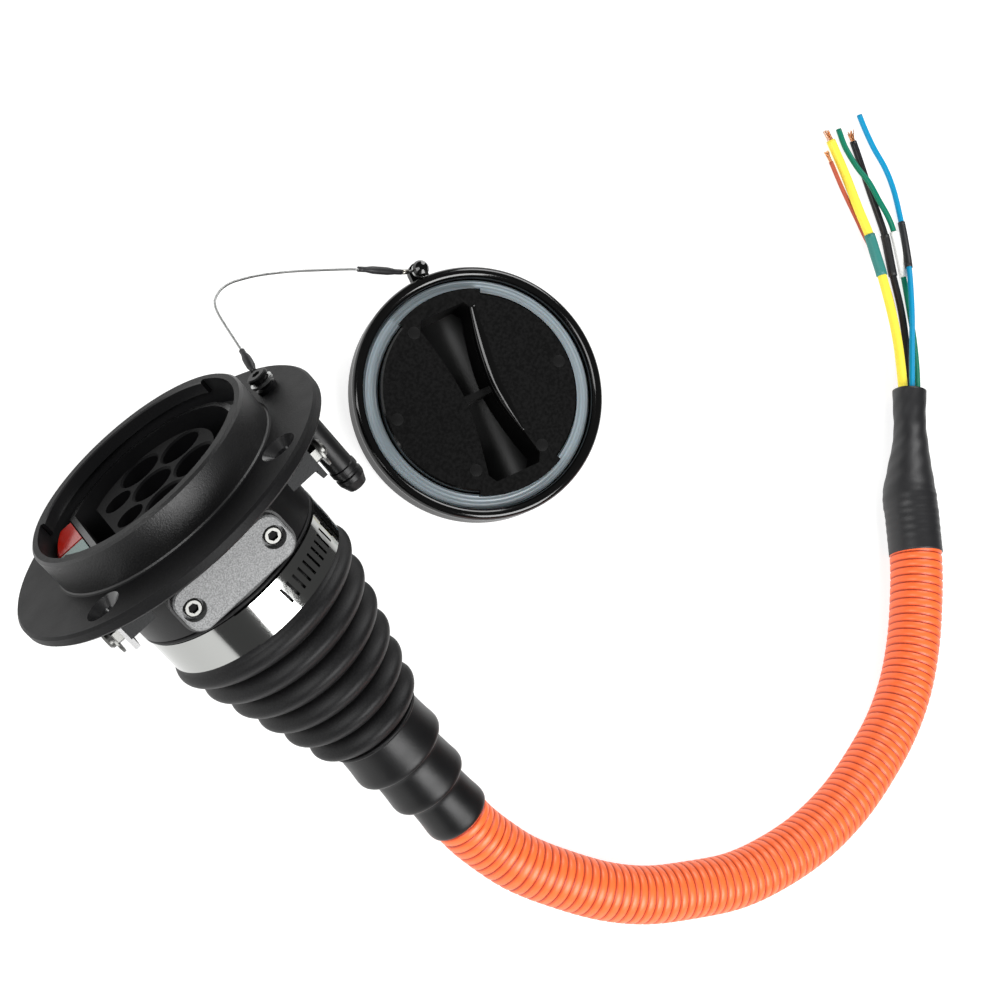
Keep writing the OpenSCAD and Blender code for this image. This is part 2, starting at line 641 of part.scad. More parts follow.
module tether_post() {
    color("#18191b") lay() translate([post_at[0], post_at[1], 0]) difference() {
        rotate_extrude() polygon([[0, 0], [post_head_r, 0], [post_head_r, 1.2], [post_r, 1.6],
            [post_r, post_h - 1.8], [post_head_r, post_h - 1.4], [post_head_r, post_h - 0.4],
            [post_head_r - 0.4, post_h], [0, post_h]]);
        translate([0, 0, post_h - 1.5]) cylinder(r = 1.5, h = 2, $fn = 6);
    }
}

// Ring eye at an end of the tether
module eye(r) {
    rotate_extrude() translate([r - tether_d / 2, -tether_d / 2]) square(tether_d);
}

module tether_loops() {
    color("#9fa0a0") {
        lay() translate([post_at[0], post_at[1], post_h / 2]) eye(loop_r);
        translate(pin_xyz) eye(pin_loop_r);
    }
}

module tether_sleeves() {
    last = len(tether_route) - 1;
    wall = 0.85;
    color("#1d1d1e") {
        sleeve(tether_route, tether_d, wall, 2, 4);
        sleeve(tether_route, tether_d, wall, last - 3, last - 1);
    }
}

module tether_wire() {
    color("#9fa0a0") cord(tether_route, tether_d);
}

// Plan of the grip: wide at both ends and narrow at the middle, with cut corners
function grip_half(t, w, waist) = waist / 2 + (w - waist) / 2 * pow(abs(t), 1.5) - (abs(t) > 0.95 ? 2.5 : 0);
module grip_plan(len, w, waist) {
    edge = [for (t = [-1, -0.9, -0.7, -0.5, -0.25, 0, 0.25, 0.5, 0.7, 0.9, 1])
        [grip_half(t, w, waist), t * len / 2]];
    polygon(concat(edge, [for (p = edge) -p]));
}

// Grip outline drawn out from the outer face, with a rounded back
module grip(inset) {
    intersection() {
        translate([0, 0, -cap_h - grip_h]) linear_extrude(cap_h + grip_h + plug_h + 1)
            grip_plan(grip_len - 2 * inset, grip_end_w - 2 * inset, grip_waist - 2 * inset);
        union() {
            translate([0, 0, -grip_axis]) rotate([90, 0, 0])
                cylinder(r = grip_r - inset, h = grip_len + 2, center = true);
            translate([-grip_r, -grip_len, -grip_axis]) cube([2 * grip_r, 2 * grip_len, cap_h + grip_h]);
        }
    }
}

module cap_shell() {
    face = -cap_h;
    floor_top = seal_top - seal_t;
    color("#101113") lay_cap() difference() {
        union() {
            rotate_extrude() polygon([[0, face], [cap_r - cap_edge_r, face], [cap_r - 1, face + 1],
                [cap_r, face + cap_edge_r], [cap_r, -0.8], [cap_r - 0.8, 0], [cap_r - cap_wall + 0.6, 0],
                [cap_r - cap_wall, -0.6], [cap_r - cap_wall, floor_top], [plug_r, floor_top],
                [plug_r, plug_h - 0.6], [plug_r - 0.6, plug_h], [0, plug_h]]);
            for (at = [90, 270]) sector(plug_r - 1, lug_r, plug_h - 2.2, plug_h, entry_angle - 4, at);
            intersection() {
                grip(0);
                translate([-cap_r, -cap_r, face - grip_h - 1]) cube([cap_d, cap_d, grip_h + 2]);
            }
            translate([-pin_tab_r, cap_r - 2, pin_z - pin_tab_t])
                cube([2 * pin_tab_r, pin_out + 2, pin_tab_t]);
            translate([0, cap_pin_r, pin_z - pin_tab_t]) cylinder(r = pin_tab_r, h = pin_tab_t);
        }
        difference() {
            grip(grip_wall);
            translate([-grip_r, -grip_wall / 2, face - grip_h])
                cube([2 * grip_r, grip_wall, grip_h + cap_h - 8]);
        }
        translate([0, cap_pin_r, pin_z - pin_tab_t - 1]) cylinder(r = pin_r + fit, h = pin_tab_t + 2);
    }
}

module cap_seal() {
    color("#cfdbe2") lay_cap() translate([0, 0, seal_top]) rotate_extrude()
        polygon([[seal_in_r, -seal_t], [seal_r, -seal_t], [seal_r, -0.5], [seal_r - 0.6, 0],
            [seal_in_r + 0.6, 0], [seal_in_r, -0.5]]);
}

module cap_pin() {
    color("#131416") lay_cap() translate([0, cap_pin_r, pin_z]) rotate_extrude()
        polygon([[0, -pin_tab_t], [pin_r, -pin_tab_t], [pin_r, 3.4], [2.6, 3.6], [2.9, 4.6], [2.2, 6],
            [1, 6.6], [0, 6.7]]);
}

module conduit() {
    color("#ee6a33") cord(conduit_route, conduit_d, 12);
}

module heat_shrink() {
    wall = 0.35;
    over = conduit_r + 0.15;
    neck = conduit_r * 0.62;
    radii = [over, over, over, over + 0.2, over - 0.8, over - 2, neck + 0.8, neck, neck + 0.2, neck + 0.5];
    color("#17181a") tube(shrink_route, radii, wall, 0, 24);
}

module wire_yellow() {
    color("#f2d21c") cord(yellow_route, thick_d);
}

module wire_black() {
    color("#1a1a1c") cord(black_route, medium_d);
}

module wire_brown() {
    color("#c0532c") cord(brown_route, thin_d);
}

module wire_green() {
    color("#157a5a") cord(green_route, thin_d);
}

module wire_blue() {
    color("#1d86d8") cord(blue_route, thin_d);
}

module wire_markers() {
    wall = 0.35;
    color("#2f7f78") sleeve(yellow_route, thick_d, wall, 5, 7);
    color("#141416") sleeve(black_route, medium_d, wall, 5, 7);
    color("#f4f4f2") sleeve(green_route, thin_d, wall, 5, 7);
    color("#141416") sleeve(blue_route, thin_d, wall, 6, 8);
}

module copper_end(p, d) {
    n = len(p) - 1;
    strip = 5;
    tip = p[n] + strip * heading(p, n);
    along(p[n], tip) cylinder(d = d * 0.66, h = strip);
}

module copper_ends() {
    color("#b8743a") {
        copper_end(yellow_route, thick_d);
        copper_end(black_route, medium_d);
        copper_end(brown_route, thin_d);
    }
}

// Tether pin of the cap as it lies
pin_out_xy = cap_xy + cap_pin_r * [cos(cap_yaw + 90), sin(cap_yaw + 90)];
pin_tip_xy = -eye_z * sin(cap_lean) * [cos(cap_yaw), sin(cap_yaw)];
pin_xyz = concat(pin_out_xy + pin_tip_xy, floor_z + cap_drop + eye_z * cos(cap_lean));

flange();
housing();
contact_insert();
power_contacts();
signal_contacts();
red_lens();
green_lens();
side_cover();
side_cover_screws();
boot();
clamp_band();
clamp_housing();
clamp_screw();
drain_nozzle();
bracket_bolts();
bracket_washers();
bracket_nuts();
tether_post();
tether_loops();
tether_sleeves();
tether_wire();
cap_shell();
cap_seal();
cap_pin();
conduit();
heat_shrink();
wire_yellow();
wire_black();
wire_brown();
wire_green();
wire_blue();
wire_markers();
copper_ends();
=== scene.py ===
# %% [markdown]
# # A vehicle's charging inlet, lying on a table
#
# The solids come from the CAD part. This script gives them their finishes, and builds again in finer
# detail what the solids only block out: the bellows boot, the ribbed conduit, the shrink sleeve, the
# loose wires and the tether. The frame is in metres with +Z up. Sizes below are in millimetres, and MM
# turns them to metres.

# %% Load the CAD nodes
import math

import bpy
import numpy as np
from mathutils import Matrix, Vector


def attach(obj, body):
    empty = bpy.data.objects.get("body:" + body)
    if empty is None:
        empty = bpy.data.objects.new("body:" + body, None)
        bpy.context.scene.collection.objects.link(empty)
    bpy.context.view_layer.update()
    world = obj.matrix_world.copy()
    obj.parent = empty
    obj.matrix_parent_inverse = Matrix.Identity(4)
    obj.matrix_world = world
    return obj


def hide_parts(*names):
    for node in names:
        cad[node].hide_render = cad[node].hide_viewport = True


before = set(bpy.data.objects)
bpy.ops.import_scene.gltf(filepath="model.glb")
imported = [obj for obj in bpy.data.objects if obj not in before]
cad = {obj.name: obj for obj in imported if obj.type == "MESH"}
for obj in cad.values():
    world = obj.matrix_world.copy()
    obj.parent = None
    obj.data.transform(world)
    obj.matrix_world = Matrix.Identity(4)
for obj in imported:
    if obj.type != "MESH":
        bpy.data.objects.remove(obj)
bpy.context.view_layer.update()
MM = 0.001

# %% [markdown]
# ## The inlet's own axes
#
# The inlet rests on the rear edge of its flange and, through the conduit, on the end of its boot. In its
# own axes Z points out of the socket and X points at the key flat, and a station is a distance behind the
# flange's front face. Round pieces are easiest to describe there, so `lay` turns points from those axes to
# how the inlet lies, and `in_inlet` turns them back.

# %% How the inlet lies
FLANGE_R, FLANGE_T = 57.0, 4.0
RIDGES, PITCH, FIRST_S, LAST_SHARE = 6, 10.1, 48.5, 0.62
STEP_R, STEP_LEN = (16.4, 13.8, 11.3), 16.2
BOOT_LIFT = 3.0
RIDGE_END = FIRST_S + PITCH * (RIDGES - 1) + PITCH * LAST_SHARE
BOOT_END_S = RIDGE_END + STEP_LEN * len(STEP_R)
LIE = math.atan((FLANGE_R - STEP_R[-1] - BOOT_LIFT) / (BOOT_END_S - FLANGE_T))
ROLL = math.radians(-25)
FLOOR = -(FLANGE_T * math.sin(LIE) + FLANGE_R * math.cos(LIE)) * MM
LAY = np.array(Matrix.Rotation(math.pi / 2 - LIE, 3, "X") @ Matrix.Rotation(ROLL, 3, "Z"))


def lay(points_mm):
    """Points in the inlet's own axes, in millimetres, turned to the row frame in metres."""
    return np.asarray(points_mm, float) @ LAY.T * MM


def in_inlet(at):
    """Points of the row frame, in metres, turned back to the inlet's own axes in millimetres."""
    return at @ LAY / MM


print("lies at", round(math.degrees(LIE), 3), "degrees, with the table at", round(FLOOR, 5))

# %% [markdown]
# ## Meshes from arrays
#
# A mesh can be modelled with Blender's operators or built from arrays of points and faces. Arrays give the
# same result on each run and leave nothing selected or in edit mode, so each new piece is worked out with
# numpy and handed over whole.

# %% A mesh, a value at each point, and a grid's faces
def mesh(name, verts, faces, body):
    """A new smooth mesh object that rides on a CAD body."""
    me = bpy.data.meshes.new(name)
    me.from_pydata(np.asarray(verts).tolist(), [], [list(map(int, f)) for f in faces])
    me.polygons.foreach_set("use_smooth", np.full(len(me.polygons), True))
    me.update()
    ob = bpy.data.objects.new(name, me)
    bpy.context.scene.collection.objects.link(ob)
    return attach(ob, body)


def values(ob, name, data):
    """A float value at each vertex, for a material to read."""
    layer = ob.data.attributes.new(name, "FLOAT", "POINT")
    layer.data.foreach_set("value", np.asarray(data, np.float32))


def grid_faces(rows, cols):
    """Quads of a grid whose columns close into a ring: a point, its neighbour, and both in the next row."""
    i, k = np.meshgrid(np.arange(rows - 1), np.arange(cols), indexing="ij")
    a, b = i * cols + k, i * cols + (k + 1) % cols
    return np.stack([a, b, b + cols, a + cols], -1).reshape(-1, 4)


print("three rings of eight points give", len(grid_faces(3, 8)), "faces")

# %% [markdown]
# ## Smooth paths
#
# Cords lie in smooth curves through a few chosen points. Blender's own curve objects could carry them, but
# numpy keeps every point at hand for measuring lengths, placing sleeves and setting radii.

# %% Curves through points, and measures along them
def spline(points, step):
    """A point about every step on a cubic through the points, whose slopes follow their neighbours."""
    p = np.asarray(points, float)
    t = arc_length(p)
    q = np.vstack([2 * p[0] - p[1], p, 2 * p[-1] - p[-2]])
    out = []
    for i in range(len(p) - 1):
        n = max(2, int(round((t[i + 1] - t[i]) / step)))
        u = np.linspace(0, 1, n, endpoint=False)[:, None]
        a, b, c, d = q[i : i + 4]
        square, cube = 2 * a - 5 * b + 4 * c - d, 3 * b - a - 3 * c + d
        out.append(0.5 * (2 * b + (c - a) * u + square * u**2 + cube * u**3))
    return np.vstack([*out, p[-1:]])


def arc_length(path):
    """Length along a path up to each of its points: the running sum of the gaps between them."""
    return np.r_[0, np.cumsum(np.linalg.norm(np.diff(path, axis=0), axis=1))]


def whole_length(path):
    """Length of a whole path."""
    return float(arc_length(path)[-1])


def at_length(path, where):
    """Points of a path at given lengths along it, found between its own points."""
    s = arc_length(path)
    return np.stack([np.interp(where, s, path[:, k]) for k in range(3)], -1)


def nearest(path, point_mm):
    """Which point of a path lies nearest to a chosen one."""
    return int(np.argmin(np.linalg.norm(path - np.array(point_mm) * MM, axis=1)))


def ramp(s, start, length):
    """A rise from 0 to 1 that begins at start and takes the given length."""
    return np.clip((s - start) / length, 0, 1)


corner = spline([(0, 0, 0), (1, 0, 0), (1, 1, 0)], 0.05)
print("a rounded corner with sides of 1 measures", round(whole_length(corner), 3))

# %% [markdown]
# ## Tubes and lathes
#
# Nearly every new piece is round: a tube carried along a path, or a profile turned about an axis. A tube's
# rings must not twist, so each ring's first side direction is the last one's, made square to the path.

# %% Rings along a path, and a turned profile
def full_turn(sides):
    """Equal angles once round."""
    return np.arange(sides) * 2 * math.pi / sides


def axes_along(path):
    """Two side directions at each point of a path, without twist."""
    t = np.gradient(path, axis=0)
    t /= np.linalg.norm(t, axis=1)[:, None]
    side = np.cross(t[0], (0, 0, 1.0))
    side /= np.linalg.norm(side)
    sides = []
    for d in t:
        side = side - d * (side @ d)
        side /= np.linalg.norm(side)
        sides.append(side)
    sides = np.array(sides)
    return sides, np.cross(sides, t)


def rings(path, radius, sides):
    """Circles about a path's points. radius is one value, one per point, or one per point and side."""
    a, b = axes_along(path)
    n, turn = len(path), full_turn(sides)[:, None]
    r = np.asarray(radius, float).reshape(n if np.ndim(radius) else 1, -1)
    r = np.broadcast_to(r, (n, sides))
    return path[:, None] + r[..., None] * (np.cos(turn) * a[:, None] + np.sin(turn) * b[:, None])


def tube(name, path, radius, body, sides):
    """A round tube along a path, closed at both ends."""
    n = len(path)
    ends = [list(range(sides))[::-1], list(range((n - 1) * sides, n * sides))]
    faces = [list(f) for f in grid_faces(n, sides)] + ends
    return mesh(name, rings(path, radius, sides).reshape(-1, 3), faces, body)


def lathe(name, profile, place, body, sides=128):
    """A profile of (radius, height) turned about an axis; place turns its points to the row frame."""
    p = np.asarray(profile, float)
    r, height, turn = p[:, :1], np.repeat(p[:, 1:], sides, 1), full_turn(sides)
    verts = np.stack([r * np.cos(turn), r * np.sin(turn), height], -1)
    return mesh(name, place(verts.reshape(-1, 3)), grid_faces(len(p), sides), body)


print("rings of", len(full_turn(128)), "sides by default")

# %% [markdown]
# ## How a finish is made
#
# Most of the inlet is black plastic or rubber, so its pieces are told apart by how they shine and by their
# grain. Pictures could be wrapped round them, but noise needs no unwrapping and has no seams. Each finish
# is one Principled shader, with its grain as noise on Object coordinates and the grain's width in
# millimetres. Real spark-eroded and cast grain is finer than a pixel here, so it is drawn coarser, about
# half a millimetre wide, to show at all.

# %% Colours, nodes and the two kinds of finish
MOTTLE_MM = 1000 / 140
GRAIN_HEIGHT = 0.2 * MM
DARK_BELOW, LIGHT_ABOVE = 0.36, 0.64


def rgb(hex_text):
    """sRGB hex text to linear red, green and blue, with alpha 1."""
    c = [int(hex_text[i : i + 2], 16) / 255 for i in (1, 3, 5)]
    return tuple(v / 12.92 if v <= 0.04045 else ((v + 0.055) / 1.055) ** 2.4 for v in c) + (1.0,)


def add(tree, kind, settings=None, **inputs):
    """A shader node with its settings, and its sockets given a value or a link from another socket.

    A socket goes by its name, with _ for each space, or by its number, such as i0.
    """
    node = tree.nodes.new(kind)
    for key, value in (settings or {}).items():
        setattr(node, key, value)
    for key, value in inputs.items():
        numbered = key[0] == "i" and key[1:].isdigit()
        socket = node.inputs[int(key[1:]) if numbered else key.replace("_", " ")]
        if isinstance(value, bpy.types.NodeSocket):
            tree.links.new(value, socket)
        else:
            socket.default_value = value
    return node


def finish(name, color, rough, metal=0.0, shine=0.5, grain=None, mottle=0.0, **more):
    """One even colour with a shine and, where asked, relief.

    grain is the relief's width in millimetres and its strength, and mottle is how far the roughness
    strays either way in wider patches.
    """
    mat = bpy.data.materials.new(name)
    mat.use_nodes = True
    tree = mat.node_tree
    tree.nodes.clear()
    base = dict(Base_Color=rgb(color), Roughness=rough, Metallic=metal, Specular_IOR_Level=shine)
    shader = add(tree, "ShaderNodeBsdfPrincipled", **base, **more)
    add(tree, "ShaderNodeOutputMaterial", Surface=shader.outputs[0])
    if grain:
        width_mm, strength = grain
        where = add(tree, "ShaderNodeTexCoord").outputs["Object"]
        noise = add(tree, "ShaderNodeTexNoise", Vector=where, Scale=1000 / width_mm, Detail=3.0)
        bump = add(tree, "ShaderNodeBump", Strength=strength, Distance=GRAIN_HEIGHT, Height=noise.outputs[0])
        tree.links.new(bump.outputs[0], shader.inputs["Normal"])
        if mottle:
            wide = add(tree, "ShaderNodeTexNoise", Vector=where, Scale=1000 / MOTTLE_MM, Detail=4.0)
            low, high = rough - mottle, rough + mottle
            span = add(tree, "ShaderNodeMapRange", Value=wide.outputs[0], i3=low, i4=high)
            tree.links.new(span.outputs[0], shader.inputs["Roughness"])
    return mat


def speckled(name, dark, light, rough, grain_mm, relief=0.5, **more):
    """A fine grain between two tones, whose light specks also stand up as relief."""
    mat = finish(name, dark, rough, **more)
    tree = mat.node_tree
    shader = tree.nodes["Principled BSDF"]
    where = add(tree, "ShaderNodeTexCoord").outputs["Object"]
    noise = add(tree, "ShaderNodeTexNoise", Vector=where, Scale=1000 / grain_mm, Detail=2.0)
    sharp = add(tree, "ShaderNodeMapRange", Value=noise.outputs[0], i1=DARK_BELOW, i2=LIGHT_ABOVE)
    tones = dict(i0=sharp.outputs[0], i6=rgb(dark), i7=rgb(light))
    mix = add(tree, "ShaderNodeMix", {"data_type": "RGBA"}, **tones)
    bump = add(tree, "ShaderNodeBump", Strength=relief, Distance=GRAIN_HEIGHT, Height=noise.outputs[0])
    tree.links.new(mix.outputs[2], shader.inputs["Base Color"])
    tree.links.new(bump.outputs[0], shader.inputs["Normal"])
    return mat


print("mid grey in linear light is", round(rgb("#808080")[0], 3))

# %% [markdown]
# ## The plastics
#
# Flange, collar and housing are glass-filled polyamide, all of one black. The mould gives each face its
# shine: spark-eroded faces are dull, and cut faces such as the bores and countersinks are smooth. The
# cover's coarse grain scatters the light, and its grey is painted sheen for that light over the same black.

# %% Plastic finishes
# Spark-eroded mould: a dull, slightly uneven black.
flange_black = finish("spark-eroded polyamide", "#0d0d0e", 0.52, shine=0.16, grain=(0.6, 0.45), mottle=0.06)
# The same grain rubbed by the cap: a broad soft highlight.
collar_black = finish("rubbed polyamide collar", "#0b0b0c", 0.44, shine=0.55, grain=(0.5, 0.5), mottle=0.06)
# Smooth mould cores: a narrow highlight along each bore. Their black is painted lighter than the flange's,
# as painted sheen.
bore_sheen_black = finish("smooth polyamide bore with painted sheen", "#1a1a1b", 0.3)
hole_sheen_gloss = finish("gloss polyamide countersink with painted sheen", "#1c1c1d", 0.22, shine=1.0)
shell_black = finish("gloss polyamide shell", "#0e0e0f", 0.26, shine=0.6)
# Satin mould: a weak, even shine.
housing_black = finish("satin polyamide", "#0e0e0f", 0.42, shine=0.3, grain=(0.6, 0.12), mottle=0.08)
# The insert is the dullest piece, so its cavities stay dark.
insert_black = finish("matt polyamide insert", "#0a0a0b", 0.55, shine=0.06, grain=(0.6, 0.1))
# Coarse grain: light specks on grey, where the grey is painted sheen over the black.
cover_sheen_grey = speckled("coarse spark-eroded polyamide with painted grey sheen", "#58595a", "#868787", 0.42, 0.45)
# Bracket faces: the flange's black painted a dark grey, as painted sheen on their grain.
bracket_sheen_grey = finish("grained polyamide bracket with painted sheen", "#1c1d1e", 0.5, shine=0.2, grain=(0.5, 0.5))
# ABS cap: polished outside, scuffed on the inner disc, satin where hands and moulds touch it.
cap_gloss = finish("polished ABS", "#070707", 0.12, grain=(1.2, 0.02), mottle=0.05)
cap_disc = speckled("scuffed ABS", "#090909", "#141414", 0.16, 1.1, 0.02)
cap_side = finish("satin ABS side", "#070707", 0.3, shine=0.1)
cap_hollow = finish("satin ABS hollow", "#080808", 0.4, shine=0.4)
cap_mark = finish("dull ABS ejector mark", "#0f0f0f", 0.5, shine=0.15)
# Clear moulded windows: tinted, with a sharp highlight.
red_clear = finish("red polycarbonate window", "#b01d10", 0.14, Transmission_Weight=0.25, IOR=1.5)
green_clear = finish("pale green polycarbonate window", "#4c6f69", 0.14, Transmission_Weight=0.25, IOR=1.5)
print("plastics:", len(bpy.data.materials), "materials so far")

# %% [markdown]
# ## Rubber, metal and wire
#
# The boot is black rubber with a dusty bloom, handled clean on its cuffs. The clamp's band is rolled
# bright, so it mirrors the table and the lamps in clear stripes, while turned and plated steel blurs them.

# %% Rubber, metal and wire finishes
# Dusty rubber: faint grey specks that dull the crests.
boot_rubber = speckled("dusty boot rubber", "#050506", "#131314", 0.5, 0.5, 0.25, shine=0.26)
cuff_rubber = finish("clean cuff rubber", "#0b0b0c", 0.4, shine=0.3, grain=(0.7, 0.1), mottle=0.09)
# Silicone lets some light in, which softens its shadows.
seal_pale = finish("pale moulded silicone", "#929a9f", 0.32, grain=(0.8, 0.06), Subsurface_Weight=0.2)
# Shrunk polyolefin: black and slightly wrinkled.
shrink_black = finish("black shrunk polyolefin", "#19191b", 0.46, grain=(1.2, 0.15), mottle=0.08)
band_steel = finish("bright rolled stainless steel", "#a9aaa8", 0.09, 1.0)
screw_steel = finish("turned zinc plated steel", "#5e5e5c", 0.34, 1.0, grain=(0.4, 0.06))
# Painted shade: a dark matt finish for the shade inside the screws' steel hexagon sockets.
socket_painted_shade = finish("painted shade in hexagon socket", "#0c0c0c", 0.6, shine=0.1)
silver_pin = finish("silver plated brass", "#8f8c85", 0.3, 1.0)
# The rope's strands are too fine to model, so a strong grain breaks up its highlight.
rope_steel = finish("stranded steel rope", "#b4b5b4", 0.32, 1.0, grain=(0.35, 0.5))
copper = finish("bare copper strand", "#e0a070", 0.3, 1.0)
# Extruded PVC insulation: clear colours with a satin sheen.
wire_look = {
    "yellow": finish("yellow PVC insulation", "#f6e24a", 0.42, shine=0.25),
    "black": finish("black PVC insulation", "#171719", 0.4, shine=0.35),
    "brown": finish("brown PVC insulation", "#b4553c", 0.42, shine=0.25),
    "green": finish("green PVC insulation", "#00745a", 0.42, shine=0.25),
    "blue": finish("blue PVC insulation", "#008fbe", 0.42, shine=0.25),
}
marker_look = {
    "yellow": finish("teal PVC marker sleeve", "#2c7d76", 0.5),
    "black": finish("black PVC marker sleeve", "#131315", 0.5),
    "green": finish("white PVC marker sleeve", "#f3f3f0", 0.5),
    "blue": finish("dark PVC marker sleeve", "#17181b", 0.5),
}


def conduit_finish():
    """Satin orange polyamide, with painted shade darkening the grooves between the ribs, where little light
    gets in.
    """
    mat = finish("orange ribbed polyamide", "#f2683a", 0.4)
    tree = mat.node_tree
    groove = add(tree, "ShaderNodeAttribute", {"attribute_name": "groove"})
    # Painted shade: the deeper the groove, the darker the orange.
    tones = dict(i0=groove.outputs["Fac"], i6=rgb("#fb6c33"), i7=rgb("#a93214"))
    mix = add(tree, "ShaderNodeMix", {"data_type": "RGBA"}, **tones)
    tree.links.new(mix.outputs[2], tree.nodes["Principled BSDF"].inputs["Base Color"])
    return mat


conduit_orange = conduit_finish()
print("rubber, metal and wire:", len(bpy.data.materials), "materials in all")

# %% [markdown]
# ## One finish for each CAD node
#
# The CAD nodes keep their meshes. Each gets the finish of what it is made of.

# %% Paint the CAD nodes
def paint(ob, mat):
    """One finish all over."""
    ob.data.materials.clear()
    ob.data.materials.append(mat)


cad_finish = {
    "flange": flange_black,
    "housing": housing_black,
    "contact_insert": insert_black,
    "power_contacts": silver_pin,
    "signal_contacts": silver_pin,
    "red_lens": red_clear,
    "green_lens": green_clear,
    "side_cover": cover_sheen_grey,
    "side_cover_screws": screw_steel,
    "clamp_band": band_steel,
    "clamp_housing": band_steel,
    "clamp_screw": screw_steel,
    "drain_nozzle": housing_black,
    "bracket_bolts": screw_steel,
    "bracket_washers": screw_steel,
    "bracket_nuts": screw_steel,
    "tether_post": housing_black,
    "tether_loops": rope_steel,
    "cap_shell": cap_gloss,
    "cap_seal": seal_pale,
    "cap_pin": cap_gloss,
}
for node, mat in cad_finish.items():
    paint(cad[node], mat)
print("painted", len(cad_finish), "CAD nodes")

# %% [markdown]
# ## Second finishes on some faces
#
# One moulding can shine differently on its faces. Splitting it would break the solid, so faces are picked
# by where they lie and which way they face, and take a second material slot. `paint_where` gives a test
# the faces' centres and normals in the row frame.

# %% Pick faces by place and facing
BRACKET_GAP, COLLAR_FOOT = 0.05, 0.3
BOLT_CIRCLE_R, SINK_R = 47.5, 6.0
HOLE_TURNS = np.radians([45, 135, 225, 315])


def paint_where(ob, mat, test):
    """A second finish on the faces that pass a test of their centres and normals."""
    me = ob.data
    me.materials.append(mat)
    turn = np.array(ob.matrix_world)
    at, facing = (np.empty(3 * len(me.polygons)) for _ in range(2))
    me.polygons.foreach_get("center", at)
    me.polygons.foreach_get("normal", facing)
    index = np.empty(len(me.polygons), int)
    me.polygons.foreach_get("material_index", index)
    at = at.reshape(-1, 3) @ turn[:3, :3].T + turn[:3, 3]
    hit = test(at, facing.reshape(-1, 3) @ turn[:3, :3].T)
    index[hit] = len(me.materials) - 1
    me.polygons.foreach_set("material_index", index)
    print(ob.name, "faces in", mat.name + ":", int(hit.sum()))


def on_brackets(at, facing):
    """Behind the flange plate."""
    return in_inlet(at)[:, 2] < -FLANGE_T - BRACKET_GAP


def on_collar(at, facing, way=1):
    """In front of the plate and facing away from the axis or, with way -1, towards it."""
    p, n = in_inlet(at), facing @ LAY
    outward = (p[:, :2] * n[:, :2]).sum(1) / np.linalg.norm(p[:, :2], axis=1)
    return (p[:, 2] > COLLAR_FOOT) & (way * outward > 0.5)


def in_bore(at, facing):
    """The collar's inner side."""
    return on_collar(at, facing, -1)


def in_holes(at, facing):
    """Near a bolt hole's axis and not flat with the plate."""
    p, n = in_inlet(at), facing @ LAY
    holes = BOLT_CIRCLE_R * np.stack([np.cos(HOLE_TURNS), np.sin(HOLE_TURNS)], 1)
    near = np.linalg.norm(p[:, None, :2] - holes, axis=2).min(1) < SINK_R
    return near & (np.abs(n[:, 2]) < 0.95)


def in_shell(at, facing):
    """In front of the flange's rear face."""
    return in_inlet(at)[:, 2] > -FLANGE_T


paint_where(cad["flange"], bracket_sheen_grey, on_brackets)
paint_where(cad["flange"], hole_sheen_gloss, in_holes)
paint_where(cad["flange"], collar_black, on_collar)
paint_where(cad["flange"], bore_sheen_black, in_bore)
paint_where(cad["housing"], shell_black, in_shell)

# %% The cover screws' hexagon sockets, painted with shade
COVER_OUT = np.array((0.42, 0.248, 0.872))
SOCKET_R, SOCKET_FROM, SOCKET_TO = 1.75, 0.3, 2.5


def in_sockets(at, facing):
    """Near the axis of either screw, and a little below the top of its head."""
    across = at @ np.cross(COVER_OUT, LAY[:, 2])
    upper = across > across.mean()
    height = at @ COVER_OUT
    hit = np.zeros(len(at), bool)
    for one in (upper, ~upper):
        from_axis = at - at[one & (facing @ COVER_OUT < 0.3)].mean(0)
        from_axis = from_axis - np.outer(from_axis @ COVER_OUT, COVER_OUT)
        below = height[one].max() - height
        inside = np.linalg.norm(from_axis, axis=1) < SOCKET_R * MM
        hit |= one & inside & (below > SOCKET_FROM * MM) & (below < SOCKET_TO * MM)
    return hit


# The sockets' faces take the painted shade.
paint_where(cad["side_cover_screws"], socket_painted_shade, in_sockets)

# %% [markdown]
# ## Softened edges
#
# Moulded edges are never sharp. A narrow live bevel on the CAD nodes catches the light, and it leaves
# edges that are flatter than its angle alone, so round faces stay round. Its faces take the node's first
# finish.

# %% Bevels
soft_edges = {
    "flange": 0.4,
    "housing": 0.4,
    "contact_insert": 0.25,
    "cap_shell": 0.55,
    "side_cover": 0.2,
    "drain_nozzle": 0.2,
    "cap_seal": 0.4,
}
for node, width in soft_edges.items():
    bevel = cad[node].modifiers.new("soft edges", "BEVEL")
    bevel.width = width * MM
    bevel.segments = 3
    bevel.limit_method = "ANGLE"
    bevel.angle_limit = math.radians(40)
    bevel.harden_normals = True
    bevel.material = 0
print("softened", len(soft_edges), "nodes")

# %% [markdown]
# ## The cap's faces
#
# The cap lies mouth up, leaning on its grip. `place_cap` turns the cap's own axes, Z out of its mouth and
# Y towards its tether pin, to how it lies. The inner disc is scuffed, and the side and the grip's hollow
# have a duller shine than the rim, so their faces are picked as the flange's were.

# %% Where the cap lies, and its second finishes
CAP_R, CAP_WALL, DISC_TOP = 44.3, 3.6, 1.0
CAP_AT = (-121.1, 66.36, FLOOR / MM + 22.536)
CAP_YAW, CAP_LEAN = math.radians(153.4), math.radians(14.947)
CAP_TURN = np.array(Matrix.Rotation(CAP_YAW, 3, "Z") @ Matrix.Rotation(-CAP_LEAN, 3, "Y"))
SIDE_R, SIDE_TOP = 43.0, -0.9
HOLLOW_X, HOLLOW_Y, HOLLOW_TOP = 13.0, 32.0, 0.6
DISC_FROM = 0.9


